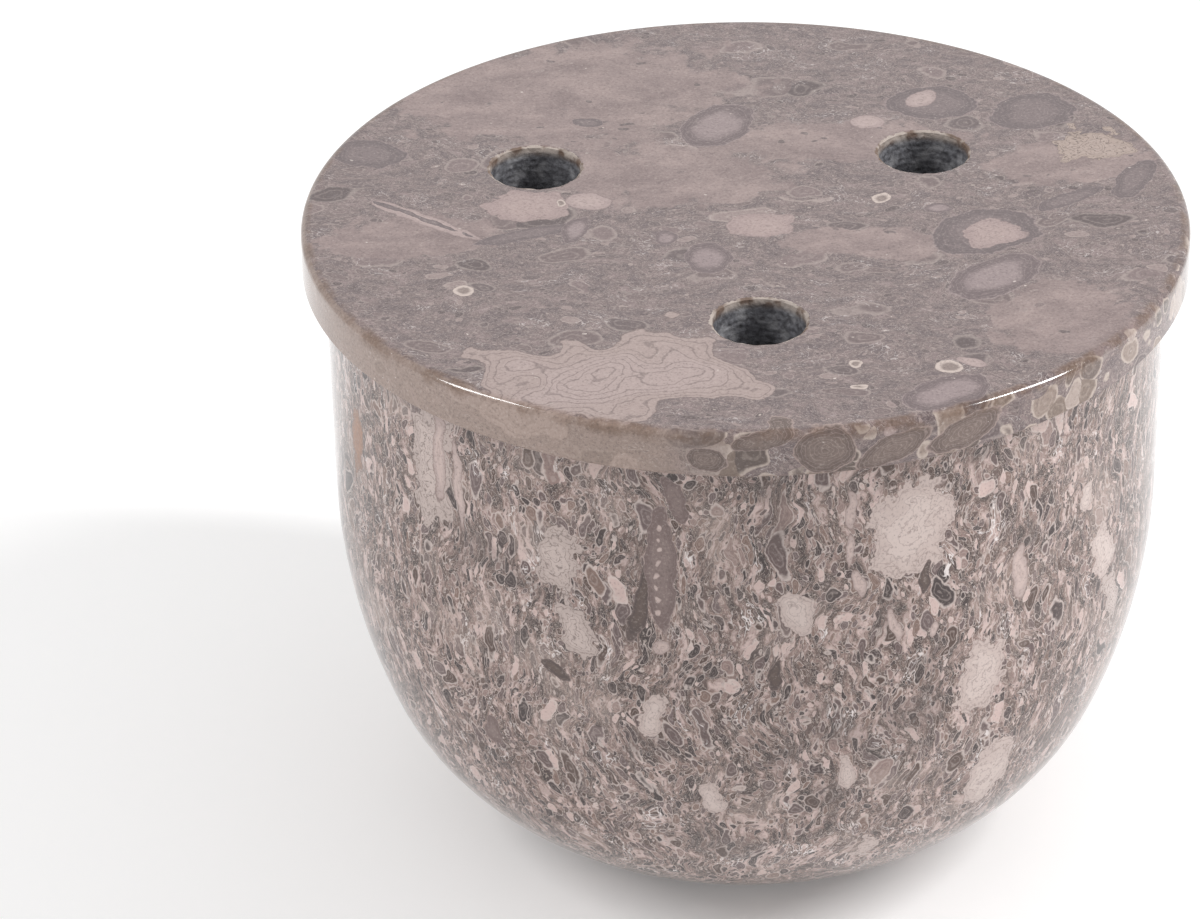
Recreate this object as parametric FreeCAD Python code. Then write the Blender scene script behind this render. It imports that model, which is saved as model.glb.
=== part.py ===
import FreeCAD, Part
import math
import os

# Garlic keeper turned from fossil marble: a deep round bowl under a heavy slab lid with three air holes.
# The origin is on the worktop under the middle of the bowl, +Z is up and the front looks towards -Y.
# Sizes are in millimetres. The bowl stands on four thin pads stuck under its foot. The lid is one flat
# stone disc with a round step below that drops into the bowl's mouth, so it can't slide off sideways.
# It lifts straight off, with a fingertip in an air hole.

# The bowl: a nearly straight wall, a soft shoulder arc, a round belly arc and a flat foot.
BOWL_HEIGHT = 96.0
RIM_RADIUS = 66.4
WALL_TAPER = math.radians(0.8)
STRAIGHT_WALL = 37.0
SHOULDER_RADIUS = 96.0
SHOULDER_END = math.radians(22.0)
BELLY_RADIUS = 41.5
WALL_THICKNESS = 10.0
BASE_THICKNESS = 13.0
CAVITY_CORNER_RADIUS = 40.0
RIM_EDGE_ROUND = 1.0

# The lid: a slab, and under it the locating step with a loose fit in the mouth.
LID_RADIUS = 70.0
LID_THICKNESS = 7.5
LID_TOP_ROUND = 1.4
LID_LOWER_CHAMFER = 0.4
STEP_DEPTH = 5.0
STEP_CLEARANCE = 1.2
STEP_ROUND = 0.8

# The air holes: the middle of the drilled circle lies a little off the lid's own middle.
VENT_RADIUS = 7.25
VENT_CIRCLE_RADIUS = 36.0
VENT_CIRCLE_MIDDLE = (-0.9, 0.6)
VENT_ANGLES = [math.radians(angle) for angle in (-85.0, 35.0, 155.0)]
VENT_EDGE_ROUND = 0.5

# The soft pads under the foot.
PAD_COUNT = 4
PAD_RADIUS = 5.5
PAD_THICKNESS = 1.5
PAD_EDGE_ROUND = 0.4
PAD_CIRCLE_RADIUS = 23.0
PAD_FIRST_ANGLE = math.radians(45.0)

# Levels above the worktop, and the two radii of the lid's fit.
FOOT_LEVEL = PAD_THICKNESS
FLOOR_LEVEL = FOOT_LEVEL + BASE_THICKNESS
RIM_LEVEL = FOOT_LEVEL + BOWL_HEIGHT
STEP_LEVEL = RIM_LEVEL - STEP_DEPTH
LID_TOP_LEVEL = RIM_LEVEL + LID_THICKNESS
MOUTH_RADIUS = RIM_RADIUS - WALL_THICKNESS
STEP_RADIUS = MOUTH_RADIUS - STEP_CLEARANCE

# Directions in an outline, as angles measured downwards from straight outwards.
OUT = 0.0
DOWN = math.pi / 2
UP = -math.pi / 2
IN_ABOVE = -math.pi
IN_BELOW = math.pi


def point(radius, level):
    """A point of a turned outline, at a radius from the axis and a level above the worktop."""
    return FreeCAD.Vector(radius, 0, level)


def line(start, end):
    return Part.LineSegment(start, end).toShape()


def on_arc(centre, radius, angle):
    """The point of an arc that lies in a direction from its centre."""
    return centre + point(radius * math.cos(angle), -radius * math.sin(angle))


def arc(centre, radius, start, end):
    middle = (start + end) / 2
    through = [on_arc(centre, radius, angle) for angle in (start, middle, end)]
    return Part.Arc(*through).toShape()


def turned(edges):
    """Turns a closed outline, given edge after edge, once round the axis."""
    face = Part.Face(Part.Wire(edges))
    return face.revolve(FreeCAD.Vector(0, 0, 0), FreeCAD.Vector(0, 0, 1), 360)


def placed_on_circle(shape, circle_radius, angle, middle=(0, 0)):
    """Moves a turned shape from the axis to its place on a circle."""
    x = middle[0] + circle_radius * math.cos(angle)
    y = middle[1] + circle_radius * math.sin(angle)
    shape.translate(FreeCAD.Vector(x, y, 0))
    return shape


def wall_radius(radius_at_rim, level):
    """The radius of the tapered wall, outside or inside, at a level."""
    return radius_at_rim - (RIM_LEVEL - level) * math.tan(WALL_TAPER)


def bowl():
    """The bowl, turned outside and inside from one block, with both edges of its rim rounded."""
    wall_end = point(wall_radius(RIM_RADIUS, RIM_LEVEL - STRAIGHT_WALL), RIM_LEVEL - STRAIGHT_WALL)
    shoulder_centre = wall_end - (on_arc(point(0, 0), SHOULDER_RADIUS, WALL_TAPER))
    shoulder_end = on_arc(shoulder_centre, SHOULDER_RADIUS, SHOULDER_END)
    belly_centre = shoulder_end - (on_arc(point(0, 0), BELLY_RADIUS, SHOULDER_END))
    belly_end = math.asin((belly_centre.z - FOOT_LEVEL) / BELLY_RADIUS)
    foot_edge = on_arc(belly_centre, BELLY_RADIUS, belly_end)

    corner_level = FLOOR_LEVEL + CAVITY_CORNER_RADIUS
    corner_inset = CAVITY_CORNER_RADIUS / math.cos(WALL_TAPER)
    corner_centre = point(wall_radius(MOUTH_RADIUS, corner_level) - corner_inset, corner_level)
    corner_top = on_arc(corner_centre, CAVITY_CORNER_RADIUS, WALL_TAPER)
    corner_bottom = on_arc(corner_centre, CAVITY_CORNER_RADIUS, DOWN)

    round_level = RIM_LEVEL - RIM_EDGE_ROUND
    outer_wall_top = point(wall_radius(RIM_RADIUS, round_level), round_level)
    inner_wall_top = point(wall_radius(MOUTH_RADIUS, round_level), round_level)
    outer_centre = outer_wall_top - point(RIM_EDGE_ROUND, 0)
    inner_centre = inner_wall_top + point(RIM_EDGE_ROUND, 0)
    return turned(
        [
            line(point(0, FOOT_LEVEL), foot_edge),
            arc(belly_centre, BELLY_RADIUS, belly_end, SHOULDER_END),
            arc(shoulder_centre, SHOULDER_RADIUS, SHOULDER_END, WALL_TAPER),
            line(wall_end, outer_wall_top),
            arc(outer_centre, RIM_EDGE_ROUND, OUT, UP),
            line(point(outer_centre.x, RIM_LEVEL), point(inner_centre.x, RIM_LEVEL)),
            arc(inner_centre, RIM_EDGE_ROUND, UP, IN_ABOVE),
            line(inner_wall_top, corner_top),
            arc(corner_centre, CAVITY_CORNER_RADIUS, WALL_TAPER, DOWN),
            line(corner_bottom, point(0, FLOOR_LEVEL)),
            line(point(0, FLOOR_LEVEL), point(0, FOOT_LEVEL)),
        ]
    )


def vent():
    """The space of one air hole, which widens at both faces of the lid where its edges are rounded."""
    edge_radius = VENT_RADIUS + VENT_EDGE_ROUND
    top_centre = point(edge_radius, LID_TOP_LEVEL - VENT_EDGE_ROUND)
    bottom_centre = point(edge_radius, STEP_LEVEL + VENT_EDGE_ROUND)
    return turned(
        [
            line(point(0, STEP_LEVEL), point(edge_radius, STEP_LEVEL)),
            arc(bottom_centre, VENT_EDGE_ROUND, DOWN, IN_BELOW),
            line(point(VENT_RADIUS, bottom_centre.z), point(VENT_RADIUS, top_centre.z)),
            arc(top_centre, VENT_EDGE_ROUND, IN_ABOVE, UP),
            line(point(edge_radius, LID_TOP_LEVEL), point(0, LID_TOP_LEVEL)),
            line(point(0, LID_TOP_LEVEL), point(0, STEP_LEVEL)),
        ]
    )


def lid():
    """The lid in one piece: the slab with its rounded top edge, the step below it and the air holes."""
    step_centre = point(STEP_RADIUS - STEP_ROUND, STEP_LEVEL + STEP_ROUND)
    top_centre = point(LID_RADIUS - LID_TOP_ROUND, LID_TOP_LEVEL - LID_TOP_ROUND)
    chamfer_inner = point(LID_RADIUS - LID_LOWER_CHAMFER, RIM_LEVEL)
    chamfer_outer = point(LID_RADIUS, RIM_LEVEL + LID_LOWER_CHAMFER)
    shape = turned(
        [
            line(point(0, STEP_LEVEL), point(step_centre.x, STEP_LEVEL)),
            arc(step_centre, STEP_ROUND, DOWN, OUT),
            line(point(STEP_RADIUS, step_centre.z), point(STEP_RADIUS, RIM_LEVEL)),
            line(point(STEP_RADIUS, RIM_LEVEL), chamfer_inner),
            line(chamfer_inner, chamfer_outer),
            line(chamfer_outer, point(LID_RADIUS, top_centre.z)),
            arc(top_centre, LID_TOP_ROUND, OUT, UP),
            line(point(top_centre.x, LID_TOP_LEVEL), point(0, LID_TOP_LEVEL)),
            line(point(0, LID_TOP_LEVEL), point(0, STEP_LEVEL)),
        ]
    )
    for angle in VENT_ANGLES:
        shape = shape.cut(placed_on_circle(vent(), VENT_CIRCLE_RADIUS, angle, VENT_CIRCLE_MIDDLE))
    return shape.Solids[0]


def foot_pad(number):
    """One thin soft disc under the foot. The edge that meets the worktop is rounded."""
    edge_centre = point(PAD_RADIUS - PAD_EDGE_ROUND, PAD_EDGE_ROUND)
    pad = turned(
        [
            line(point(0, 0), point(edge_centre.x, 0)),
            arc(edge_centre, PAD_EDGE_ROUND, DOWN, OUT),
            line(point(PAD_RADIUS, PAD_EDGE_ROUND), point(PAD_RADIUS, PAD_THICKNESS)),
            line(point(PAD_RADIUS, PAD_THICKNESS), point(0, PAD_THICKNESS)),
            line(point(0, PAD_THICKNESS), point(0, 0)),
        ]
    )
    return placed_on_circle(pad, PAD_CIRCLE_RADIUS, PAD_FIRST_ANGLE + number * 2 * math.pi / PAD_COUNT)


pieces = {"bowl": bowl(), "lid": lid()}
for number in range(PAD_COUNT):
    pieces[f"foot_pad_{number + 1}"] = foot_pad(number)

os.makedirs("parts", exist_ok=True)
for name, shape in pieces.items():
    shape.exportStep(f"parts/{name}.step")
    print(name, "is valid:", shape.isValid(), "and holds", round(shape.Volume / 1000, 2), "cm3")
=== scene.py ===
import bmesh
import bpy
import math
from mathutils import Matrix, Vector
from mathutils.noise import noise as bumps


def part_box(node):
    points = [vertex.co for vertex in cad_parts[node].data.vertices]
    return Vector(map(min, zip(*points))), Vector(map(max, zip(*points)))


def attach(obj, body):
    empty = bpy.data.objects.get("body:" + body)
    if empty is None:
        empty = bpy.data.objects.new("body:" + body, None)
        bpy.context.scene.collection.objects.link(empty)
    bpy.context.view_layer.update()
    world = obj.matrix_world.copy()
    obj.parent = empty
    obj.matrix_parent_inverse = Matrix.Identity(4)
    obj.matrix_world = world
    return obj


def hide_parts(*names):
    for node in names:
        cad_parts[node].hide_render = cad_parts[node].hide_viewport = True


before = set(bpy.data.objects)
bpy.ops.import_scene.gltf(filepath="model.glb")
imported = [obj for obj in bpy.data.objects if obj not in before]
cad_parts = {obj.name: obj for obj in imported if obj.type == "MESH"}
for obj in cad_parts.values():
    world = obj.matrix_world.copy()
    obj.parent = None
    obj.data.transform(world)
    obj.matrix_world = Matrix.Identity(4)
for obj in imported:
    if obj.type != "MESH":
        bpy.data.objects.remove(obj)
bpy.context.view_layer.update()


# The camera is a long lens on a tripod in front of the keeper, looking down on it. It was aimed a little
# below and to the left of the middle of the lid, which leaves room beside the bowl.
LENS_MM = 178.37
SENSOR_WIDTH_MM = 36.0
CAMERA_DISTANCE = 0.9378
CAMERA_ELEVATION = math.radians(27.667)
AIM_LEFT = math.radians(1.395)
AIM_DOWN = math.radians(2.373)
CLIP_NEAR = 0.01
CLIP_FAR = 20.0

lid_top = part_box("lid")[1][2]
from_lid = Vector((0, -math.cos(CAMERA_ELEVATION), math.sin(CAMERA_ELEVATION)))
camera_data = bpy.data.cameras.new("camera")
camera_data.sensor_width = SENSOR_WIDTH_MM
camera_data.lens = LENS_MM
camera_data.clip_start = CLIP_NEAR
camera_data.clip_end = CLIP_FAR
camera = bpy.data.objects.new("camera", camera_data)
bpy.context.scene.collection.objects.link(camera)
camera.matrix_world = (
    Matrix.Translation(Vector((0, 0, lid_top)) + CAMERA_DISTANCE * from_lid)
    @ Matrix.Rotation(math.pi / 2 - CAMERA_ELEVATION, 4, "X")
    @ Matrix.Rotation(AIM_LEFT, 4, "Y")
    @ Matrix.Rotation(-AIM_DOWN, 4, "X")
)
bpy.context.scene.camera = camera
bpy.context.scene.view_settings.view_transform = "Standard"


# The studio is a white sweep under an even white tent, with a narrow softbox high on each side. The right
# one is the stronger, so the bowl is lighter on that side and its shadow on the floor falls to the left.
TENT_LIGHT = 0.53
FLOOR_SIZE = 6.0
FLOOR_GAP = 0.00005
WHITE = "#FFFFFF"
FLOOR_GLOW = 0.12
SOFTBOXES = {
    # azimuth from the front and elevation in degrees, distance, width and height in metres, watts
    "softbox_right": (83, 42, 1.1, 0.12, 0.60, 8.2),
    "softbox_left": (-77, 42, 1.1, 0.12, 0.60, 4.3),
}


def linear(hex_colour):
    """An sRGB hex colour as the linear values that a socket takes."""
    parts = [int(hex_colour[i : i + 2], 16) / 255 for i in (1, 3, 5)]
    return [c / 12.92 if c <= 0.04045 else ((c + 0.055) / 1.055) ** 2.4 for c in parts] + [1.0]


def new_material(name):
    material = bpy.data.materials.new(name)
    material.use_nodes = True
    material.node_tree.nodes.clear()
    return material, material.node_tree


def add(tree, kind, settings=None):
    """Adds a node. A setting is a property of it, or what an input takes: a value, a colour or a link.

    A link is given as another node, which stands for its first open output, or as one of its outputs."""
    node = tree.nodes.new(kind)
    for name, value in (settings or {}).items():
        if name == "stops":
            ramp = node.color_ramp.elements
            while len(ramp) < len(value):
                ramp.new(1.0)
            for element, (position, colour) in zip(ramp, value):
                element.position = position
                element.color = linear(colour)
        elif isinstance(name, str) and hasattr(node, name):
            setattr(node, name, value)
        elif isinstance(value, bpy.types.Node):
            tree.links.new(next(output for output in value.outputs if output.enabled), node.inputs[name])
        elif isinstance(value, bpy.types.NodeSocket):
            tree.links.new(value, node.inputs[name])
        else:
            node.inputs[name].default_value = linear(value) if isinstance(value, str) else value
    return node


def seen_or_mirrored(tree):
    """1 for a ray from the camera, off a gloss or through a clear piece, and 0 for a ray that lights."""
    path = add(tree, "ShaderNodeLightPath").outputs
    seen = add(tree, "ShaderNodeMath",
               {"operation": "MAXIMUM", 0: path["Is Camera Ray"], 1: path["Is Glossy Ray"]})
    return add(tree, "ShaderNodeMath", {"operation": "MAXIMUM", 0: seen, 1: path["Is Transmission Ray"]})


world = bpy.data.worlds.new("white_tent")
world.use_nodes = True
bpy.context.scene.world = world
tree = world.node_tree
tree.nodes.clear()
strength = add(tree, "ShaderNodeMapRange",
               {"Value": seen_or_mirrored(tree), "To Min": TENT_LIGHT, "To Max": 1.0})
tent = add(tree, "ShaderNodeBackground", {"Color": WHITE, "Strength": strength})
add(tree, "ShaderNodeOutputWorld", {"Surface": tent})

white_paper, tree = new_material("white_paper_sweep")
paper = add(tree, "ShaderNodeBsdfDiffuse", {"Color": WHITE})
glow_strength = add(tree, "ShaderNodeMath",
                    {"operation": "MULTIPLY", 0: seen_or_mirrored(tree), 1: FLOOR_GLOW})
glow = add(tree, "ShaderNodeEmission", {"Strength": glow_strength})
lit_paper = add(tree, "ShaderNodeAddShader", {0: paper, 1: glow})
from_below = add(tree, "ShaderNodeNewGeometry").outputs["Backfacing"]
clear = add(tree, "ShaderNodeBsdfTransparent")
one_sided = add(tree, "ShaderNodeMixShader", {0: from_below, 1: lit_paper, 2: clear})
add(tree, "ShaderNodeOutputMaterial", {"Surface": one_sided})

sweep = bmesh.new()
bmesh.ops.create_grid(sweep, x_segments=1, y_segments=1, size=FLOOR_SIZE / 2)
bmesh.ops.translate(sweep, verts=sweep.verts, vec=(0, 0, -FLOOR_GAP))
floor_mesh = bpy.data.meshes.new("floor")
sweep.to_mesh(floor_mesh)
sweep.free()
floor_mesh.materials.append(white_paper)
floor = bpy.data.objects.new("floor", floor_mesh)
bpy.context.scene.collection.objects.link(floor)

for name, (azimuth, elevation, distance, width, height, power) in SOFTBOXES.items():
    lamp = bpy.data.lights.new(name, "AREA")
    lamp.shape = "RECTANGLE"
    lamp.size = width
    lamp.size_y = height
    lamp.energy = power
    softbox = bpy.data.objects.new(name, lamp)
    bpy.context.scene.collection.objects.link(softbox)
    softbox.matrix_world = (
        Matrix.Rotation(math.radians(azimuth), 4, "Z")
        @ Matrix.Rotation(math.pi / 2 - math.radians(elevation), 4, "X")
        @ Matrix.Translation((0, 0, distance))
    )


# The bowl is turned on a lathe, outside and inside, from one block of fossil marble, a limestone packed
# with shell debris. The debris stands upright in this block: dark lens-shaped shell pieces with fine pale
# outlines, cream lumps and a few whole shells. The outside is polished; the inside, rim and foot are honed.
BOWL_STRETCH = (1.0, 1.0, 0.34)
BOWL_CRUMPLES_MM = [(4.0, 1.2), (1.1, 0.3)]  # size and push of each
BOWL_FLOW_MM = (15.0, 6.0)
BOWL_MUD_MM = 1.7
BOWL_MUD = [
    (0.32, "#2B1A18"), (0.41, "#43312E"), (0.48, "#634F49"), (0.54, "#846C65"), (0.64, "#C4ACA7"),
]
BOWL_GRAINS = [
    # width of a cell in mm, share of the cells that hold a grain, least and largest radius in cells
    (0.6, 0.85, 0.26, 0.50),
    (1.15, 0.85, 0.28, 0.54),
    (2.1, 0.62, 0.24, 0.50),
    (4.0, 0.36, 0.20, 0.40),
]
BOWL_GRAIN_COLOURS = [
    (0.00, "#301E1D"), (0.18, "#4B342B"), (0.34, "#5C4846"), (0.48, "#796056"), (0.57, "#3C2928"),
    (0.67, "#89716B"), (0.77, "#614E4D"), (0.91, "#C4ABA5"),
]
BOWL_CONTOURS = ("#C6B6AC", 0.5)
BOWL_CALCITE = (0.8, 0.03, 0.33)  # size in mm, thickness of a line, and how far the patches reach
BOWL_WOBBLE_MM = 3.6
BOWL_CLOUD_MM = 11.0
BOWL_CLOUDS = [
    # colour, where in the noise it starts and is full, and its share there
    ("#B3A199", 0.50, 0.72, 0.36),
    ("#4A3C38", 0.45, 0.28, 0.40),
]
MUD_CONTOURS = 90.0
GRAIN_RINGS = 15.0
GRAIN_OUTLINE = "#CABAB4"
CALCITE = "#DDD3D1"
FOOT_LEVEL_MM, RIM_LEVEL_MM = (round(1000 * corner[2], 2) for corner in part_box("bowl"))
BOWL_WALL_MM = 66.0
BELLY_LEVEL_MM = 55.0
BELLY_CURVE = 0.012
CAVITY_CORNER_MM = (15.8, 54.5)
CAVITY_REACH_MM = 41.5
FOSSIL_KINDS = {
    # colours of the middle, the flesh and the lines; ring turns and strength; raggedness; rim width
    "cream_lump": ("#C6B5AF", "#BCAAA4", "#84726D", 24.0, 0.45, 1.5, 0.04),
    "cream_lens": ("#BDA8A2", "#AC9893", "#84706B", 7.0, 0.25, 0.3, 0.15),
    "grey_shell": ("#7A6763", "#6C5855", "#917F7B", 40.0, 0.30, 0.45, 0.06),
    "dark_lens": ("#54423B", "#483733", "#84716C", 9.0, 0.15, 0.3, 0.08),
    "swirl_lump": ("#BBAAA4", "#B09F99", "#6E5F5A", 26.0, 0.70, 1.9, 0.05),
    "rust_stain": ("#926548", "#86614B", "#7D5E4F", 6.0, 0.20, 1.2, 0.20),
}
CORAL_ANGLE = -11.3
CORAL_DOT_LEVELS_MM = [86.0 - 2.2 * number for number in range(8)]
CORAL_DOT_MM = (0.35, 0.55)
BOWL_FOSSILS = [
    # kind, angle from the front in degrees, level, half width and half height in mm, tilt in degrees
    ("cream_lump", 22.6, 83.9, 6.6, 8.6, 10),
    ("cream_lump", 33.6, 52.9, 4.2, 7.4, 12),
    ("cream_lump", 6.7, 71.7, 2.7, 4.0, -20),
    ("cream_lump", -12.5, 51.9, 2.0, 4.2, 15),
    ("cream_lump", 14.4, 39.7, 1.5, 4.4, -12),
    ("cream_lump", 38.9, 31.3, 4.0, 8.6, 8),
    ("swirl_lump", -25.0, 77.0, 3.1, 6.0, 5),
    ("swirl_lump", -22.8, 65.0, 2.8, 5.6, -22),
    ("swirl_lump", -46.0, 86.5, 4.6, 12.5, 3),
    ("cream_lens", -44.5, 88.0, 1.5, 9.0, 2),
    ("cream_lens", -41.0, 84.5, 0.9, 8.0, -2),
    ("dark_lens", -13.6, 72.5, 1.3, 7.5, 12),
    ("grey_shell", -11.0, 78.5, 2.1, 12.0, -2),
    ("grey_shell", -9.0, 91.0, 4.5, 1.5, 70),
    ("dark_lens", -26.1, 57.1, 1.2, 3.1, -60),
    ("cream_lens", -11.0, 64.8, 1.2, 1.2, 0),
    ("cream_lens", 39.8, 69.8, 1.5, 5.2, -5),
    ("cream_lump", 57.6, 64.0, 3.6, 5.0, -20),
    ("swirl_lump", 61.4, 53.8, 2.4, 6.6, -28),
    ("cream_lens", 13.9, 88.5, 0.9, 3.4, 0),
    ("cream_lens", 13.7, 81.6, 0.9, 2.8, 2),
    ("cream_lens", 14.9, 75.5, 0.9, 2.4, -14),
    ("cream_lump", 52.8, 76.8, 1.6, 2.6, 20),
    ("cream_lump", -4.8, 36.4, 1.9, 4.6, -8),
    ("cream_lump", 20.2, 22.8, 3.0, 4.8, 0),
    ("cream_lens", 20.2, 67.0, 0.9, 3.0, -8),
    ("cream_lens", 25.9, 64.6, 0.8, 1.9, 0),
    ("dark_lens", 4.0, 60.0, 1.0, 3.0, 12),
    ("dark_lens", 24.5, 74.0, 0.8, 2.8, 8),
    ("grey_shell", -38.0, 40.0, 1.8, 3.0, -10),
    ("rust_stain", -66.0, 79.0, 2.0, 6.5, 6),
]
POLISH_ROUGHNESS = 0.10
HONED_ROUGHNESS = 0.50
HONED_PALENESS = 0.22
HONED_DUST = "#B9ABA4"
TURNING_MARK_MM = 0.7  # a real mark is about 0.2 mm wide, too fine to show
TURNING_DEPTH = 0.00002
TURNING_STRENGTH = 0.12
SMEAR_MM = 9.0
SPECKLE_MM = 0.45
SPECKLES = [
    # the same four values as for the clouds
    ("#CDBFB7", 0.54, 0.72, 0.20),
    ("#3A2C29", 0.48, 0.30, 0.34),
]
MARBLE_IOR = 1.56
COLOURS = {"data_type": "RGBA"}
SMOOTH = {"interpolation_type": "SMOOTHSTEP", "clamp": False}


def laid_over(tree, stone, colour, value, start, end, most=1.0):
    """Lays a colour over the stone: none of it where the value is at the start, the most at the end."""
    share = add(tree, "ShaderNodeMapRange",
                {**SMOOTH, "Value": value, "From Min": start, "From Max": end, "To Max": most})
    return add(tree, "ShaderNodeMix", {**COLOURS, "Factor": share, "A": stone, "B": colour})


def rings_of(tree, value, pace):
    """Rises and falls between -1 and 1 as the value grows, like the growth lines of a shell."""
    turns = add(tree, "ShaderNodeMath", {"operation": "MULTIPLY", 0: value, 1: pace})
    return add(tree, "ShaderNodeMath", {"operation": "SINE", 0: turns})


def fossil_group():
    """A shell or lump cut through by the surface. Local is the place in the fossil, 1 at its outline."""
    group = bpy.data.node_groups.new("cut_fossil", "ShaderNodeTree")
    for name in ("Wobble", "Rings", "Ring Strength", "Ragged", "Rim"):
        group.interface.new_socket(name, in_out="INPUT", socket_type="NodeSocketFloat")
    for name in ("Stone", "Core", "Flesh", "Line"):
        group.interface.new_socket(name, in_out="INPUT", socket_type="NodeSocketColor")
    group.interface.new_socket("Local", in_out="INPUT", socket_type="NodeSocketVector")
    group.interface.new_socket("Stone", in_out="OUTPUT", socket_type="NodeSocketColor")
    given = add(group, "NodeGroupInput").outputs
    far = add(group, "ShaderNodeVectorMath", {"operation": "LENGTH", 0: given["Local"]})
    depth = add(group, "ShaderNodeMath",
                {"operation": "MULTIPLY_ADD", 0: given["Wobble"], 1: given["Ragged"], 2: far})
    body = laid_over(group, given["Core"], given["Flesh"], depth, 0.45, 0.80)
    ring = add(group, "ShaderNodeMapRange",
               {**SMOOTH, "Value": rings_of(group, depth, given["Rings"]), "From Min": 0.7,
                "From Max": 1.0, "To Max": given["Ring Strength"]})
    rim_start = add(group, "ShaderNodeMath", {"operation": "SUBTRACT", 0: 1.0, 1: given["Rim"]})
    rim = add(group, "ShaderNodeMapRange",
              {**SMOOTH, "Value": depth, "From Min": rim_start, "From Max": 1.0})
    line = add(group, "ShaderNodeMath", {"operation": "MAXIMUM", 0: ring, 1: rim})
    lined = add(group, "ShaderNodeMix", {**COLOURS, "Factor": line, "A": body, "B": given["Line"]})
    cut = laid_over(group, given["Stone"], lined, depth, 1.03, 0.98)
    add(group, "NodeGroupOutput", {"Stone": cut})
    return group


cut_fossil = fossil_group()


def place_fossil(tree, stone, place, wobble, kind, centre, halves, turn):
    """Lays one fossil over the stone at its centre, with its half sizes in mm and its turn in degrees."""
    core, flesh, line, rings, ring_strength, ragged, rim = FOSSIL_KINDS[kind]
    local = add(tree, "ShaderNodeMapping",
                {"vector_type": "TEXTURE", "Vector": place, "Location": centre, "Scale": halves,
                 "Rotation": [math.radians(angle) for angle in turn]})
    return add(tree, "ShaderNodeGroup",
               {"node_tree": cut_fossil, "Local": local, "Stone": stone, "Wobble": wobble,
                "Core": core, "Flesh": flesh, "Line": line, "Rings": rings,
                "Ring Strength": ring_strength, "Ragged": ragged, "Rim": rim})


def place_in_wall(tree, stone, place, wobble, wall_mm, fossil):
    """Lays a fossil into an upright round wall at its angle from the front, level and tilt."""
    kind, angle, level, half_width, half_height, tilt = fossil
    around = math.radians(angle)
    centre = (wall_mm * math.sin(around), -wall_mm * math.cos(around), level)
    halves = (half_width, 1.5 * half_width, half_height)
    return place_fossil(tree, stone, place, wobble, kind, centre, halves, (0, tilt, angle))


def flowed(tree, place, size_mm, push_mm):
    """The place in the block, pushed about by up to about the push as the mud flowed before it set."""
    noise = add(tree, "ShaderNodeTexNoise", {"Vector": place, "Scale": 1 / size_mm, "Detail": 1.0})
    centred = add(tree, "ShaderNodeVectorMath",
                  {"operation": "SUBTRACT", 0: noise.outputs["Color"], 1: (0.5, 0.5, 0.5)})
    return add(tree, "ShaderNodeVectorMath",
               {"operation": "MULTIPLY_ADD", 0: centred, 1: (2 * push_mm,) * 3, 2: place})


def mud(tree, place, size_mm, stops, line, line_strength):
    """The fine-grained stone between the shells: mottled, with thin flow lines along its contours."""
    noise = add(tree, "ShaderNodeTexNoise",
                {"Vector": place, "Scale": 1 / size_mm, "Detail": 4.0, "Roughness": 0.6})
    colour = add(tree, "ShaderNodeValToRGB", {"Fac": noise, "stops": stops})
    contours = rings_of(tree, noise, MUD_CONTOURS)
    return laid_over(tree, colour, line, contours, 0.55, 1.0, line_strength)


def strew(tree, stone, place, grain, colours, outline, outline_strength=0.8):
    """Strews grains over the stone, each with a colour of its own, faint rings and a fine outline."""
    cell_mm, share, least, largest = grain
    cells = add(tree, "ShaderNodeTexVoronoi", {"Vector": place, "Scale": 1 / cell_mm})
    lot = add(tree, "ShaderNodeSeparateColor", {0: cells.outputs["Color"]}).outputs
    size = add(tree, "ShaderNodeMapRange",
               {"clamp": False, "Value": lot["Green"], "To Min": least, "To Max": largest})
    depth = add(tree, "ShaderNodeMath", {"operation": "DIVIDE", 0: cells, 1: size})
    colour = add(tree, "ShaderNodeValToRGB", {"Fac": lot["Red"], "stops": colours})
    colour.color_ramp.interpolation = "CONSTANT"
    ring = add(tree, "ShaderNodeMapRange",
               {**SMOOTH, "Value": rings_of(tree, depth, GRAIN_RINGS), "From Min": 0.3,
                "From Max": 1.0, "To Max": 0.22})
    edge = add(tree, "ShaderNodeMapRange",
               {**SMOOTH, "Value": depth, "From Min": 0.78, "From Max": 0.96, "To Max": outline_strength})
    lines = add(tree, "ShaderNodeMath", {"operation": "MAXIMUM", 0: ring, 1: edge})
    lined = add(tree, "ShaderNodeMix", {**COLOURS, "Factor": lines, "A": colour, "B": outline})
    held = add(tree, "ShaderNodeMath", {"operation": "LESS_THAN", 0: lot["Blue"], 1: share})
    return laid_over(tree, stone, lined, depth, 1.06, 0.97, held)


def calcite_squiggles(tree, stone, place, size_mm, thickness, reach):
    """Fine white lines of calcite, in patches, where gaps between the grains filled up."""
    noise = add(tree, "ShaderNodeTexNoise", {"Vector": place, "Scale": 1 / size_mm, "Detail": 1.0})
    centred = add(tree, "ShaderNodeMath", {"operation": "SUBTRACT", 0: noise, 1: 0.5})
    line = add(tree, "ShaderNodeMath", {"operation": "ABSOLUTE", 0: centred})
    where = add(tree, "ShaderNodeTexNoise", {"Vector": place, "Scale": 0.25 / size_mm, "Detail": 0.0})
    patch = add(tree, "ShaderNodeMapRange",
                {**SMOOTH, "Value": where, "From Min": reach, "From Max": reach - 0.06})
    return laid_over(tree, stone, CALCITE, line, thickness, 0.4 * thickness, patch)


def in_millimetres(tree):
    """The place on a piece, in mm from the part's origin on the worktop."""
    place = add(tree, "ShaderNodeTexCoord").outputs["Object"]
    return add(tree, "ShaderNodeVectorMath", {"operation": "SCALE", 0: place, "Scale": 1000.0})


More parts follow.
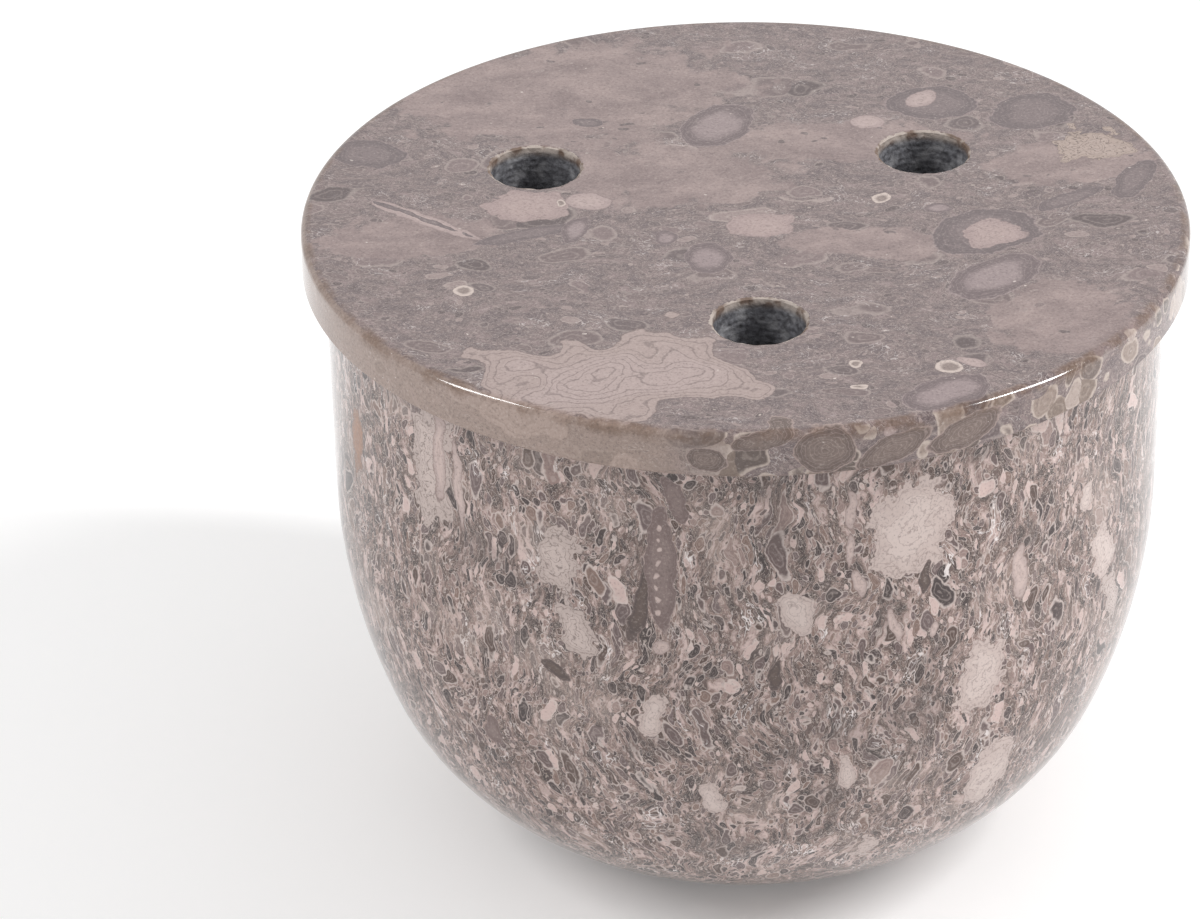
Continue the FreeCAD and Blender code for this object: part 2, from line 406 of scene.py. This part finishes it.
def wobble_of(tree, place, size_mm, detail=3.0, roughness=0.6):
    """A smooth number about 0 that makes the outlines and rings of fossils uneven."""
    noise = add(tree, "ShaderNodeTexNoise",
                {"Vector": place, "Scale": 1 / size_mm, "Detail": detail, "Roughness": roughness})
    return add(tree, "ShaderNodeMath", {"operation": "SUBTRACT", 0: noise, 1: 0.5})


def distance_from_axis(tree, place, middle=(0.0, 0.0)):
    """How far a place lies from an upright axis, in mm."""
    flat = add(tree, "ShaderNodeVectorMath", {"operation": "MULTIPLY", 0: place, 1: (1, 1, 0)})
    return add(tree, "ShaderNodeVectorMath", {"operation": "DISTANCE", 0: flat, 1: (*middle, 0)})


def least_of(tree, values):
    """The least of several values, such as the distances from several places."""
    least = values[0]
    for value in values[1:]:
        least = add(tree, "ShaderNodeMath", {"operation": "MINIMUM", 0: least, 1: value})
    return least


def finish_marble(tree, stone, place, radius, level, honed):
    """Polished marble, and where it is honed it is duller and paler with the turning tool's fine rings."""
    speckle = add(tree, "ShaderNodeTexNoise",
                  {"Vector": place, "Scale": 1 / SPECKLE_MM, "Detail": 2.0, "Roughness": 0.7})
    for colour, start, full, share in SPECKLES:
        stone = laid_over(tree, stone, colour, speckle, start, full, share)
    paleness = add(tree, "ShaderNodeMath", {"operation": "MULTIPLY", 0: honed, 1: HONED_PALENESS})
    stone = add(tree, "ShaderNodeMix", {**COLOURS, "Factor": paleness, "A": stone, "B": HONED_DUST})
    smear = add(tree, "ShaderNodeTexNoise", {"Vector": place, "Scale": 1 / SMEAR_MM, "Detail": 3.0})
    polish = add(tree, "ShaderNodeMapRange",
                 {"clamp": False, "Value": smear, "From Min": 0.3, "From Max": 0.7,
                  "To Min": 0.8 * POLISH_ROUGHNESS, "To Max": 1.3 * POLISH_ROUGHNESS})
    roughness = add(tree, "ShaderNodeMath",
                    {"operation": "MULTIPLY_ADD", 0: honed, 1: HONED_ROUGHNESS - POLISH_ROUGHNESS,
                     2: polish})
    along = add(tree, "ShaderNodeMath", {"operation": "ADD", 0: radius, 1: level})
    turned = rings_of(tree, along, 2 * math.pi / TURNING_MARK_MM)
    marks = add(tree, "ShaderNodeMath", {"operation": "MULTIPLY", 0: turned, 1: honed})
    bump = add(tree, "ShaderNodeBump",
               {"Height": marks, "Strength": TURNING_STRENGTH, "Distance": TURNING_DEPTH})
    return add(tree, "ShaderNodeBsdfPrincipled",
               {"Base Color": stone, "Roughness": roughness, "IOR": MARBLE_IOR, "Normal": bump})


bowl_marble, tree = new_material("polished_fossil_marble_bowl")
place = in_millimetres(tree)
radius = distance_from_axis(tree, place)
level = add(tree, "ShaderNodeSeparateXYZ", {0: place}).outputs["Z"]
crumpled = place
for size_and_push in BOWL_CRUMPLES_MM:
    crumpled = flowed(tree, crumpled, *size_and_push)
grain_place = add(tree, "ShaderNodeVectorMath",
                  {"operation": "MULTIPLY", 0: flowed(tree, crumpled, *BOWL_FLOW_MM), 1: BOWL_STRETCH})
stone = mud(tree, grain_place, BOWL_MUD_MM, BOWL_MUD, *BOWL_CONTOURS)
for grain in BOWL_GRAINS:
    stone = strew(tree, stone, grain_place, grain, BOWL_GRAIN_COLOURS, GRAIN_OUTLINE)
stone = calcite_squiggles(tree, stone, grain_place, *BOWL_CALCITE)
cloud = add(tree, "ShaderNodeTexNoise", {"Vector": crumpled, "Scale": 1 / BOWL_CLOUD_MM, "Detail": 2.0})
for colour, start, full, share in BOWL_CLOUDS:
    stone = laid_over(tree, stone, colour, cloud, start, full, share)
wobble = wobble_of(tree, crumpled, BOWL_WOBBLE_MM)
for fossil in BOWL_FOSSILS:
    below_belly = max(0.0, BELLY_LEVEL_MM - fossil[2])
    wall_mm = BOWL_WALL_MM - BELLY_CURVE * below_belly ** 2
    stone = place_in_wall(tree, stone, crumpled, wobble, wall_mm, fossil)
for dot_level in CORAL_DOT_LEVELS_MM:
    dot = ("cream_lens", CORAL_ANGLE, dot_level, *CORAL_DOT_MM, 0)
    stone = place_in_wall(tree, stone, crumpled, wobble, BOWL_WALL_MM, dot)
corner_radius, corner_level = CAVITY_CORNER_MM
inwards = add(tree, "ShaderNodeMath", {"operation": "SUBTRACT", 0: radius, 1: corner_radius})
downwards = add(tree, "ShaderNodeMath", {"operation": "SUBTRACT", 0: corner_level, 1: level})
from_corner = add(tree, "ShaderNodeCombineXYZ", {"X": inwards, "Y": downwards})
past_corner = add(tree, "ShaderNodeVectorMath", {"operation": "MAXIMUM", 0: from_corner, 1: (0, 0, 0)})
reach = add(tree, "ShaderNodeVectorMath", {"operation": "LENGTH", 0: past_corner})
cavity = add(tree, "ShaderNodeMath", {"operation": "LESS_THAN", 0: reach, 1: CAVITY_REACH_MM})
foot = add(tree, "ShaderNodeMath", {"operation": "LESS_THAN", 0: level, 1: FOOT_LEVEL_MM + 0.2})
rim = add(tree, "ShaderNodeMath", {"operation": "GREATER_THAN", 0: level, 1: RIM_LEVEL_MM - 0.1})
ends = add(tree, "ShaderNodeMath", {"operation": "MAXIMUM", 0: foot, 1: rim})
honed = add(tree, "ShaderNodeMath", {"operation": "MAXIMUM", 0: cavity, 1: ends})
shader = finish_marble(tree, stone, place, radius, level, honed)
add(tree, "ShaderNodeOutputMaterial", {"Surface": shader})
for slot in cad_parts["bowl"].material_slots:
    slot.material = bowl_marble


# The lid is sawn and turned from another block of the same stone, cut along its bedding, so its shells
# lie flat: pale mud with bands of fine grey debris, ringed shells and small cream rings. The top and edge
# are polished, the underside is honed, and the drilled air holes are left rough and grey.
LID_STRETCH = (0.60, 1.0, 1.2)
LID_CRUMPLES_MM = [(4.5, 0.9), (1.0, 0.2)]
LID_FLOW_MM = (14.0, 5.0)
LID_DEBRIS_MM = 2.2
LID_DEBRIS = [
    (0.30, "#574849"), (0.42, "#655657"), (0.52, "#71615F"), (0.62, "#7C6A69"), (0.76, "#907E7D"),
]
LID_GRAINS = [
    # the same four values as for the bowl
    (0.55, 0.60, 0.24, 0.46),
    (1.2, 0.50, 0.22, 0.44),
    (2.6, 0.30, 0.22, 0.40),
    (6.5, 0.40, 0.24, 0.46),
]
LID_GRAIN_COLOURS = [
    (0.00, "#554646"), (0.20, "#615252"), (0.42, "#6D5C5B"), (0.66, "#796766"), (0.88, "#8E7C79"),
]
LID_GRAIN_OUTLINE = "#AB9C96"
LID_CONTOURS = ("#B3A49E", 0.42)
LID_CALCITE = (0.9, 0.02, 0.38)
LID_CALCITE_SHARE = 0.45
LID_MUD_GRAIN = (1.7, 0.16, 0.12, 0.34)
LID_MUD_GRAIN_OUTLINE = "#B0A09A"
LID_MUD_MM = 6.0
LID_MUD_SHARE = 0.88
LID_MUD = [(0.35, "#7D6A68"), (0.48, "#8B7875"), (0.62, "#9A8682")]
LID_MUD_ZONES = [
    # x and y on the lid, half sizes along and across in mm, turn in degrees
    (-29.0, 42.0, 27.0, 18.0, 10),
    (-12.0, 13.0, 19.0, 10.0, 0),
    (-52.0, -8.0, 14.0, 7.0, 12),
    (16.0, 25.0, 20.0, 7.0, 4),
    (48.0, -34.0, 12.0, 10.0, 50),
    (52.0, 18.0, 12.0, 8.0, 20),
    (20.0, -10.0, 14.0, 5.0, -8),
]
LID_ZONE_WOBBLE_MM = 7.0
LID_ZONE_RAGGED = 1.6
LID_WOBBLE_MM = 5.0
LID_SWIRL_MM = 13.0
LID_SWIRL_RIPPLE = 0.12
LID_KINDS = {
    "pale_lump": ("#A5908C", "#9E8986", "#826F6D", 16.0, 0.25, 1.1, 0.05),
    "pale_lens": ("#AC9894", "#A28E8B", "#877472", 7.0, 0.20, 0.4, 0.10),
    "ringed_shell": ("#8E7D7D", "#675758", "#928180", 62.0, 0.42, 0.5, 0.04),
    "grey_lens": ("#736464", "#635556", "#8C7B7A", 52.0, 0.34, 0.6, 0.05),
    "swirled_mud": ("#A6938F", "#A18E89", "#6F5E5B", 44.0, 0.60, 2.2, 0.03),
    "maze_lump": ("#A6938A", "#A39086", "#67574F", 24.0, 0.85, 3.0, 0.05),
    "edge_shell": ("#72615A", "#61504A", "#9F8B85", 44.0, 0.45, 0.6, 0.08),
    "cream_ring": ("#85756F", "#C2B2AA", "#A4948C", 3.0, 0.0, 0.2, 0.06),
}
FOSSIL_KINDS.update(LID_KINDS)
LID_FOSSILS = [
    # kind, x and y on the lid, half sizes along and across in mm, turn in degrees
    ("swirled_mud", -18.0, -52.0, 22.0, 12.5, 10),
    ("pale_lump", 3.0, -4.0, 5.5, 4.0, 0),
    ("ringed_shell", -4.6, 30.4, 5.2, 8.2, -28),
    ("ringed_shell", -5.8, -14.8, 3.6, 5.3, 8),
    ("grey_lens", 37.5, -6.0, 9.0, 7.2, 35),
    ("pale_lump", 38.6, -6.8, 5.2, 4.2, 30),
    ("ringed_shell", 38.4, -21.0, 9.0, 5.2, 46),
    ("grey_lens", 51.2, 4.9, 6.6, 1.9, 38),
    ("grey_lens", 62.0, 12.1, 7.2, 2.9, 68),
    ("maze_lump", 55.7, 23.2, 5.8, 5.4, 20),
    ("grey_lens", 46.8, 35.4, 7.4, 6.2, 40),
    ("grey_lens", 30.5, 38.5, 7.5, 6.0, 0),
    ("pale_lens", 28.7, 40.1, 2.2, 3.4, -30),
    ("pale_lens", 19.6, 31.9, 3.0, 2.3, 0),
    ("pale_lump", -34.3, 2.1, 6.4, 5.6, 10),
    ("pale_lens", -24.9, 3.8, 3.9, 2.9, -12),
    ("cream_ring", -29.3, 3.2, 0.7, 1.2, 0),
    ("pale_lens", -50.0, -2.6, 11.0, 1.5, -37),
    ("grey_lens", -50.4, -2.2, 10.6, 0.6, -37),
    ("grey_lens", -34.3, -7.2, 9.2, 1.8, 22),
    ("ringed_shell", -26.6, -5.7, 1.9, 4.4, -18),
    ("grey_lens", -60.4, 20.4, 6.2, 4.6, -15),
    ("grey_lens", -25.4, 31.6, 2.8, 1.5, -8),
    ("ringed_shell", -12.1, -8.4, 1.6, 2.5, -10),
    ("ringed_shell", 30.1, -57.3, 7.6, 4.2, 32),
    ("cream_ring", -43.4, -25.9, 1.5, 1.5, 0),
    ("cream_ring", 21.8, 5.2, 1.6, 1.3, 60),
    ("cream_ring", 30.7, -49.6, 2.0, 2.0, 0),
    ("cream_ring", 16.7, -48.7, 1.2, 1.4, 0),
    ("pale_lens", 34.3, -48.1, 2.3, 1.1, -25),
    ("cream_ring", 17.1, -55.9, 1.2, 0.9, 10),
    ("ringed_shell", 30.7, 1.8, 2.2, 1.6, 0),
]
LID_EDGE_SHELLS = [
    (0.00, "#5A4B45"), (0.22, "#7A685D"), (0.42, "#8D7B71"), (0.60, "#665650"), (0.80, "#A3928A"),
]
LID_EDGE_GRAIN = (4.6, 0.9, 0.34, 0.66)
LID_EDGE_OUTLINE = "#B8A89E"
LID_EDGE_FOSSILS = [
    # kind, angle from the front in degrees, level, half width and half height in mm, tilt in degrees
    ("edge_shell", -4.6, 100.4, 3.0, 2.0, 10),
    ("edge_shell", 9.9, 101.5, 4.6, 3.8, 0),
    ("edge_shell", 18.4, 100.4, 6.4, 2.2, -20),
    ("edge_shell", 28.0, 100.8, 7.0, 2.6, -16),
    ("pale_lens", 17.8, 103.4, 1.0, 0.9, 0),
    ("edge_shell", 2.0, 103.6, 5.0, 1.4, -14),
]
LID_SPECK = (1.2, 0.10, 0.06, 0.16)
LID_SPECK_COLOURS = [(0.0, "#A99A93"), (0.6, "#CFC3BC")]
LID_EDGE_TAN = "#A38E81"
LID_TAN_SHARE = 0.6
LID_TAN_SIDE_MM = (-4.0, -14.0)  # where across the lid the tan starts and is full
LID_SHELLY_SIDE_MM = (-12.0, -2.0)
# colour, share and patches of the painted dark reflection on the lid's rounded top edge
EDGE_REFLECTION_BROWN = "#6E5442"
EDGE_REFLECTION_SHARE = 0.62
EDGE_REFLECTION_PATCHES = (-0.10, 0.14)
DRILLED_GREYS = ("#4A494D", "#77777C", "#A2A1A4")
CHIP_COLOURS = ("#6E5747", "#B5A79D")
DRILLED_ROUGHNESS = 0.65
DRILLED_PIT_DEPTH = 0.0003
lid_low, lid_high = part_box("lid")
LID_RADIUS_MM = round(1000 * lid_high[0], 2)
LID_TOP_MM = round(1000 * lid_high[2], 2)
VENT_CIRCLE_MM = 36.0
VENT_CIRCLE_MIDDLE_MM = (-0.9, 0.6)
VENT_ANGLES = (-85.0, 35.0, 155.0)
VENT_RADIUS_MM = 7.25
VENT_EDGE_MM = 0.5
STEP_RADIUS_MM = 55.2
STEP_LEVEL_MM = round(1000 * lid_low[2], 2)
STEP_ROUND_MM = 0.8
LID_TOP_ROUND_MM = 1.4
LID_CHAMFER_MM = 0.4
LID_TURN_STEPS = 288
WALL_STEPS = 150
WALL_ROW_MM = 0.25
CORE_OVERRUN_MM = 1.0
WALL_TORN_MM = [(0.10, 1.7), (0.06, 0.6)]  # depth and size of the torn patches
DRILL_MARK_MM = 0.03
DRILL_PITCH_MM = 1.1
CHIP_SHARES = (0.9, 0.7)  # the even and the uneven share of the chipped edge
CHIP_SIZE_MM = 1.3
GRIT_MM = 0.9
SCOUR_MM = 2.6
ROUGH_RIM_MM = 0.40
ROUGH_RIM_UNEVEN_MM = 0.9
SHARP_EDGE = math.radians(38)
FLAT_JOIN = math.radians(1)
FLAT_FACE_CORNERS = 20


def vent_axes():
    """Where the axes of the three air holes stand on the lid, in mm."""
    turns = [math.radians(angle) for angle in VENT_ANGLES]
    return [(VENT_CIRCLE_MIDDLE_MM[0] + VENT_CIRCLE_MM * math.cos(turn),
             VENT_CIRCLE_MIDDLE_MM[1] + VENT_CIRCLE_MM * math.sin(turn)) for turn in turns]


lid_marble, tree = new_material("polished_fossil_marble_lid")
place = in_millimetres(tree)
radius = distance_from_axis(tree, place)
level = add(tree, "ShaderNodeSeparateXYZ", {0: place}).outputs["Z"]
crumpled = place
for size_and_push in LID_CRUMPLES_MM:
    crumpled = flowed(tree, crumpled, *size_and_push)
flow = flowed(tree, crumpled, *LID_FLOW_MM)
grain_place = add(tree, "ShaderNodeVectorMath", {"operation": "MULTIPLY", 0: flow, 1: LID_STRETCH})
stone = mud(tree, grain_place, LID_DEBRIS_MM, LID_DEBRIS, *LID_CONTOURS)
for grain in LID_GRAINS:
    stone = strew(tree, stone, grain_place, grain, LID_GRAIN_COLOURS, LID_GRAIN_OUTLINE, 0.5)
squiggled = calcite_squiggles(tree, stone, grain_place, *LID_CALCITE)
stone = add(tree, "ShaderNodeMix", {**COLOURS, "Factor": LID_CALCITE_SHARE, "A": stone, "B": squiggled})

# Pale mud filled the hollows between the bands of debris.
zones = []
for x, y, half_along, half_across, turn in LID_MUD_ZONES:
    local = add(tree, "ShaderNodeMapping",
                {"vector_type": "TEXTURE", "Vector": crumpled, "Location": (x, y, LID_TOP_MM),
                 "Rotation": (0, 0, math.radians(turn)), "Scale": (half_along, half_across, half_across)})
    zones.append(add(tree, "ShaderNodeVectorMath", {"operation": "LENGTH", 0: local}))
zone_wobble = wobble_of(tree, crumpled, LID_ZONE_WOBBLE_MM)
zone_depth = add(tree, "ShaderNodeMath",
                 {"operation": "MULTIPLY_ADD", 0: zone_wobble, 1: LID_ZONE_RAGGED, 2: least_of(tree, zones)})
clouds = add(tree, "ShaderNodeTexNoise",
             {"Vector": grain_place, "Scale": 1 / LID_MUD_MM, "Detail": 5.0, "Roughness": 0.65})
pale_mud = add(tree, "ShaderNodeValToRGB", {"Fac": clouds, "stops": LID_MUD})
pale_mud = strew(tree, pale_mud, grain_place, LID_MUD_GRAIN, LID_GRAIN_COLOURS,
                 LID_MUD_GRAIN_OUTLINE, 0.3)
stone = laid_over(tree, stone, pale_mud, zone_depth, 1.08, 0.92, LID_MUD_SHARE)
wobble = wobble_of(tree, crumpled, LID_WOBBLE_MM)
mud_wobble = add(tree, "ShaderNodeMath",
                 {"operation": "MULTIPLY_ADD", 0: wobble, 1: LID_SWIRL_RIPPLE,
                  2: wobble_of(tree, crumpled, LID_SWIRL_MM, 1.0, 0.5)})
for kind, x, y, half_along, half_across, turn in LID_FOSSILS:
    sway = mud_wobble if kind == "swirled_mud" else wobble
    stone = place_fossil(tree, stone, crumpled, sway, kind, (x, y, LID_TOP_MM),
                         (half_along, half_across, half_across), (0, 0, turn))

# The saw met plain tan mud at the left of the edge, and packed shells at the right.
on_edge = add(tree, "ShaderNodeMapRange",
              {**SMOOTH, "Value": radius, "From Min": LID_RADIUS_MM - 1.0, "From Max": LID_RADIUS_MM - 0.5})
across = add(tree, "ShaderNodeSeparateXYZ", {0: crumpled}).outputs["X"]
tan_share = add(tree, "ShaderNodeMath", {"operation": "MULTIPLY", 0: on_edge, 1: LID_TAN_SHARE})
stone = laid_over(tree, stone, LID_EDGE_TAN, across, *LID_TAN_SIDE_MM, tan_share)
shelly = strew(tree, stone, flow, LID_EDGE_GRAIN, LID_EDGE_SHELLS, LID_EDGE_OUTLINE, 0.9)
stone = laid_over(tree, stone, shelly, across, *LID_SHELLY_SIDE_MM, on_edge)
for fossil in LID_EDGE_FOSSILS:
    stone = place_in_wall(tree, stone, crumpled, wobble, LID_RADIUS_MM, fossil)
stone = strew(tree, stone, grain_place, LID_SPECK, LID_SPECK_COLOURS, LID_SPECK_COLOURS[1][1])

# Painted reflection: a brown band, in patches, is laid along the rounded top edge of the lid, as the dark
# reflection that this rounding mirrors.
near_edge = add(tree, "ShaderNodeMapRange",
                {**SMOOTH, "Value": radius, "From Min": LID_RADIUS_MM - 2.0,
                 "From Max": LID_RADIUS_MM - 1.0})
painted_reflection_band = add(tree, "ShaderNodeMapRange",
              {**SMOOTH, "Value": level, "From Min": LID_TOP_MM - 2.8, "From Max": LID_TOP_MM - 1.2,
               "To Max": near_edge})
reflection_share = add(tree, "ShaderNodeMath", {"operation": "MULTIPLY", 0: painted_reflection_band, 1: EDGE_REFLECTION_SHARE})
stone = laid_over(tree, stone, EDGE_REFLECTION_BROWN, wobble, *EDGE_REFLECTION_PATCHES, reflection_share)
honed = add(tree, "ShaderNodeMath", {"operation": "LESS_THAN", 0: level, 1: RIM_LEVEL_MM + 0.1})
polished = finish_marble(tree, stone, place, radius, level, honed)

# The drill leaves the walls of the air holes rough, and chips their edges pale.
from_vent = least_of(tree, [distance_from_axis(tree, place, axis) for axis in vent_axes()])
grit = add(tree, "ShaderNodeTexNoise", {"Vector": place, "Scale": 1 / GRIT_MM, "Detail": 3.0})
scoured = add(tree, "ShaderNodeTexNoise", {"Vector": place, "Scale": 1 / SCOUR_MM, "Detail": 2.0})
dark_grey, mid_grey, pale_grey = DRILLED_GREYS
drilled_stone = laid_over(tree, dark_grey, mid_grey, grit, 0.3, 0.7)
drilled_stone = laid_over(tree, drilled_stone, pale_grey, scoured, 0.48, 0.7, 0.7)
chips = laid_over(tree, *CHIP_COLOURS, scoured, 0.40, 0.56)
drilled_stone = laid_over(tree, drilled_stone, chips, level, LID_TOP_MM - 2.1, LID_TOP_MM - 0.5, 0.85)
pits = add(tree, "ShaderNodeBump", {"Height": grit, "Strength": 0.8, "Distance": DRILLED_PIT_DEPTH})
drilled = add(tree, "ShaderNodeBsdfPrincipled",
              {"Base Color": drilled_stone, "Roughness": DRILLED_ROUGHNESS, "IOR": MARBLE_IOR,
               "Normal": pits})
unevenness = add(tree, "ShaderNodeMath", {"operation": "SUBTRACT", 0: grit, 1: 0.5})
vent_edge = add(tree, "ShaderNodeMath",
                {"operation": "MULTIPLY_ADD", 0: unevenness, 1: ROUGH_RIM_UNEVEN_MM,
                 2: VENT_RADIUS_MM + ROUGH_RIM_MM})
in_vent = add(tree, "ShaderNodeMath", {"operation": "LESS_THAN", 0: from_vent, 1: vent_edge})
surface = add(tree, "ShaderNodeMixShader", {0: in_vent, 1: polished, 2: drilled})
add(tree, "ShaderNodeOutputMaterial", {"Surface": surface})


def arc_points(centre, radius, start, end, steps):
    """Points of an arc of an outline, from one angle above outwards to another, in degrees."""
    turns = [math.radians(start + (end - start) * i / steps) for i in range(steps + 1)]
    return [(centre[0] + radius * math.cos(t), centre[1] + radius * math.sin(t)) for t in turns]


def turned_slab():
    """The slab with its rounded top edge and the step below it, turned from its outline."""
    step_arc_centre = (STEP_RADIUS_MM - STEP_ROUND_MM, STEP_LEVEL_MM + STEP_ROUND_MM)
    top_arc_centre = (LID_RADIUS_MM - LID_TOP_ROUND_MM, LID_TOP_MM - LID_TOP_ROUND_MM)
    outline = [
        (step_arc_centre[0] - STEP_ROUND_MM, STEP_LEVEL_MM),
        *arc_points(step_arc_centre, STEP_ROUND_MM, -90, 0, 6),
        (STEP_RADIUS_MM, RIM_LEVEL_MM),
        (LID_RADIUS_MM - LID_CHAMFER_MM, RIM_LEVEL_MM),
        (LID_RADIUS_MM, RIM_LEVEL_MM + LID_CHAMFER_MM),
        *arc_points(top_arc_centre, LID_TOP_ROUND_MM, 0, 90, 12),
        (top_arc_centre[0] - LID_CHAMFER_MM, LID_TOP_MM),
    ]
    slab = bmesh.new()
    corners = [slab.verts.new((out / 1000, 0, up / 1000)) for out, up in outline]
    edges = [slab.edges.new(pair) for pair in zip(corners, corners[1:])]
    bmesh.ops.spin(slab, geom=corners + edges, cent=(0, 0, 0), axis=(0, 0, 1), angle=2 * math.pi,
                   steps=LID_TURN_STEPS, use_merge=True)
    bmesh.ops.holes_fill(slab, edges=slab.edges, sides=0)
    bmesh.ops.recalc_face_normals(slab, faces=slab.faces)
    return slab


def wall_radius(x, y, turn, level):
    """The radius of an air hole's rough wall: the drill's marks, torn stone and chipped edges."""
    at = Vector((x + VENT_RADIUS_MM * math.cos(turn), y + VENT_RADIUS_MM * math.sin(turn), level))
    torn = sum(depth * bumps(at / size) for depth, size in WALL_TORN_MM)
    drill_mark = DRILL_MARK_MM * math.sin(turn + 2 * math.pi * level / DRILL_PITCH_MM)
    chipped = VENT_EDGE_MM * (CHIP_SHARES[0] + CHIP_SHARES[1] * bumps(at / CHIP_SIZE_MM))
    depth = min(LID_TOP_MM - level, level - STEP_LEVEL_MM)
    reach = min(max(depth, 0.0), chipped)
    flare = chipped - math.sqrt(max(chipped ** 2 - (chipped - reach) ** 2, 0.0))
    return VENT_RADIUS_MM + torn + drill_mark + flare


def drill_cores():
    """The three cores that the drill takes out of the lid: rods, whose walls are then made rough."""
    cores = bmesh.new()
    axes = vent_axes()
    length = LID_TOP_MM - STEP_LEVEL_MM + 2 * CORE_OVERRUN_MM
    middle_level = (LID_TOP_MM + STEP_LEVEL_MM) / 2
    for x, y in axes:
        stand = Matrix.Translation((x, y, middle_level)) @ Matrix.Rotation(math.pi / 2, 4, "Z")
        bmesh.ops.create_cone(cores, cap_ends=True, segments=WALL_STEPS, radius1=VENT_RADIUS_MM,
                              radius2=VENT_RADIUS_MM, depth=length, matrix=stand)
    upright = [edge for edge in cores.edges if edge.calc_length() > length / 2]
    bmesh.ops.subdivide_edges(cores, edges=upright, cuts=round(length / WALL_ROW_MM) - 1)
    for corner in cores.verts:
        x, y = min(axes, key=lambda axis: math.dist(axis, corner.co.xy))
        turn = math.atan2(corner.co.y - y, corner.co.x - x)
        far = wall_radius(x, y, turn, corner.co.z)
        corner.co = (x + far * math.cos(turn), y + far * math.sin(turn), corner.co.z)
    bmesh.ops.scale(cores, verts=cores.verts, vec=(0.001, 0.001, 0.001))
    return cores


def object_from(shape, name):
    mesh = bpy.data.meshes.new(name)
    shape.to_mesh(mesh)
    shape.free()
    piece = bpy.data.objects.new(name, mesh)
    bpy.context.scene.collection.objects.link(piece)
    return piece


slab = object_from(turned_slab(), "uncut_lid")
cores = object_from(drill_cores(), "drill_cores")
drilling = slab.modifiers.new("drilling", "BOOLEAN")
drilling.operation = "DIFFERENCE"
drilling.solver = "EXACT"
drilling.object = cores
bpy.context.view_layer.update()
drilled_slab = slab.evaluated_get(bpy.context.evaluated_depsgraph_get())
lid_mesh = bpy.data.meshes.new_from_object(drilled_slab)
lid_mesh.name = "drilled_lid"
lid_mesh.shade_smooth()
lid_mesh.set_sharp_from_angle(angle=SHARP_EDGE)

# The two flat faces stay flat up to the holes: their edges there are sharp.
flats = bmesh.new()
flats.from_mesh(lid_mesh)
for face in flats.faces:
    if len(face.verts) > FLAT_FACE_CORNERS:
        for edge in face.edges:
            edge.smooth = edge.calc_face_angle(0) < FLAT_JOIN
flats.to_mesh(lid_mesh)
flats.free()
lid_mesh.materials.clear()
lid_mesh.materials.append(lid_marble)
drilled_lid = bpy.data.objects.new("drilled_lid", lid_mesh)
bpy.context.scene.collection.objects.link(drilled_lid)
bpy.data.objects.remove(slab)
bpy.data.objects.remove(cores)
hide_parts("lid")
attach(drilled_lid, "lid_body")
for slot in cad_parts["lid"].material_slots:
    slot.material = lid_marble


# The four pads are punched from a sheet of black closed-cell rubber with a sticky back. Their cells show
# as fine pits, and they pick up dust in patches.
PAD_CELL_MM = 0.45
PAD_BLACKS = ("#141313", "#211F1F")
PAD_DUST = "#4A4542"
PAD_DUST_MM = 3.0
PAD_PIT_DEPTH = 0.0001
RUBBER_ROUGHNESS = 0.85
RUBBER_IOR = 1.5

rubber, tree = new_material("black_closed_cell_rubber")
place = in_millimetres(tree)
cells = add(tree, "ShaderNodeTexVoronoi", {"Vector": place, "Scale": 1 / PAD_CELL_MM})
dust = add(tree, "ShaderNodeTexNoise", {"Vector": place, "Scale": 1 / PAD_DUST_MM, "Detail": 3.0})
black = laid_over(tree, *PAD_BLACKS, cells, 0.1, 0.5)
dusty = laid_over(tree, black, PAD_DUST, dust, 0.5, 0.75, 0.3)
pits = add(tree, "ShaderNodeBump", {"Height": cells, "Strength": 0.5, "Distance": PAD_PIT_DEPTH})
shader = add(tree, "ShaderNodeBsdfPrincipled",
             {"Base Color": dusty, "Roughness": RUBBER_ROUGHNESS, "IOR": RUBBER_IOR, "Normal": pits})
add(tree, "ShaderNodeOutputMaterial", {"Surface": shader})
for number in range(1, 5):
    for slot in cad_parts[f"foot_pad_{number}"].material_slots:
        slot.material = rubber
